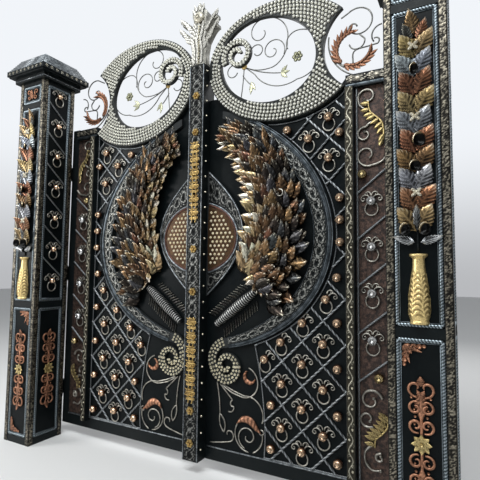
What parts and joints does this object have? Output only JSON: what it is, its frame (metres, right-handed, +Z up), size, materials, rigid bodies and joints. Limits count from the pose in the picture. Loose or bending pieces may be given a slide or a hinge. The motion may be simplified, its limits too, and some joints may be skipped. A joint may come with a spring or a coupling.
{
  "type": "ornamental wrought iron driveway gate",
  "caption": "Ornamental wrought iron driveway gate: double leaves with oval crown rings, leaf sprays and lattice, hung on box piers with caps.",
  "frame": {"origin": "centre of the left pier's flat base, on the ground", "axes": "+X along the gate towards the right pier, +Y inwards from the road, +Z up"},
  "size_m": [3.852, 0.527, 3.745],
  "materials": {
    "arc_band": "antique silver vine embossing",
    "back_sheet": "dark blue-green satin",
    "cap": "grey-green satin with pale ribs",
    "coil_stem": "antique silver",
    "crown_ring": "champagne pearls on dark plate",
    "crown_scrolls": "silver grey wire with copper leaves",
    "filigrees": "copper and gold",
    "finial": "champagne pearls on dark plate",
    "garland": "copper, gold and silver leaf paint",
    "hinge_pins": "greased steel",
    "knob_rings": "copper balls and silver rings",
    "lattice": "antique silver twisted bars",
    "leaf_frame": "dark blue-green satin, embossed antique silver stile",
    "leaf_spray": "gold, copper, silver and dark bronze leaves",
    "lower_scrolls": "silver grey with copper crescents",
    "medallion": "antique silver embossing, brown disc with pearl dots",
    "mullion": "antique silver embossing over dark blue-green",
    "mullion_ornaments": "gold",
    "pier_frame": "antique silver over dark blue-green, embossed",
    "pier_panels": "dark blue-green satin",
    "pier_trim": "antique silver rope moulding",
    "side_scrolls": "rust brown and antique silver",
    "side_sheet": "sponged rust brown",
    "vase": "pale gold"
  },
  "bodies": {
    "posts": {"left_pier_frame": "pier_frame", "right_pier_frame": "pier_frame", "left_pier_panels": "pier_panels", "right_pier_panels": "pier_panels", "left_pier_trim": "pier_trim", "right_pier_trim": "pier_trim", "left_cap": "cap", "right_cap": "cap", "left_garland": "garland", "right_garland": "garland", "left_vase": "vase", "right_vase": "vase", "left_filigrees": "filigrees", "right_filigrees": "filigrees", "left_hinge_pins": "hinge_pins", "right_hinge_pins": "hinge_pins"},
    "left_leaf": {"left_leaf_frame": "leaf_frame", "left_back_sheet": "back_sheet", "left_side_sheet": "side_sheet", "left_arc_band": "arc_band", "left_crown_ring": "crown_ring", "left_crown_scrolls": "crown_scrolls", "left_lattice": "lattice", "left_knob_rings": "knob_rings", "left_side_scrolls": "side_scrolls", "left_leaf_spray": "leaf_spray", "left_coil_stem": "coil_stem", "left_medallion": "medallion", "left_lower_scrolls": "lower_scrolls"},
    "right_leaf": {"right_leaf_frame": "leaf_frame", "right_back_sheet": "back_sheet", "right_side_sheet": "side_sheet", "right_arc_band": "arc_band", "right_crown_ring": "crown_ring", "right_crown_scrolls": "crown_scrolls", "right_lattice": "lattice", "right_knob_rings": "knob_rings", "right_side_scrolls": "side_scrolls", "right_leaf_spray": "leaf_spray", "right_coil_stem": "coil_stem", "right_medallion": "medallion", "right_lower_scrolls": "lower_scrolls", "mullion": "mullion", "mullion_ornaments": "mullion_ornaments", "finial": "finial"}
  },
  "joints": [
    {"name": "left_leaf_swing", "type": "hinge", "parent": "posts", "child": "left_leaf", "pos_m": [0.098, 0.242, 0.42], "axis": [0, 0, 1], "range_deg": [0, 90]},
    {"name": "right_leaf_swing", "type": "hinge", "parent": "posts", "child": "right_leaf", "pos_m": [3.238, 0.242, 0.42], "axis": [0, 0, -1], "range_deg": [0, 90]}
  ]
}
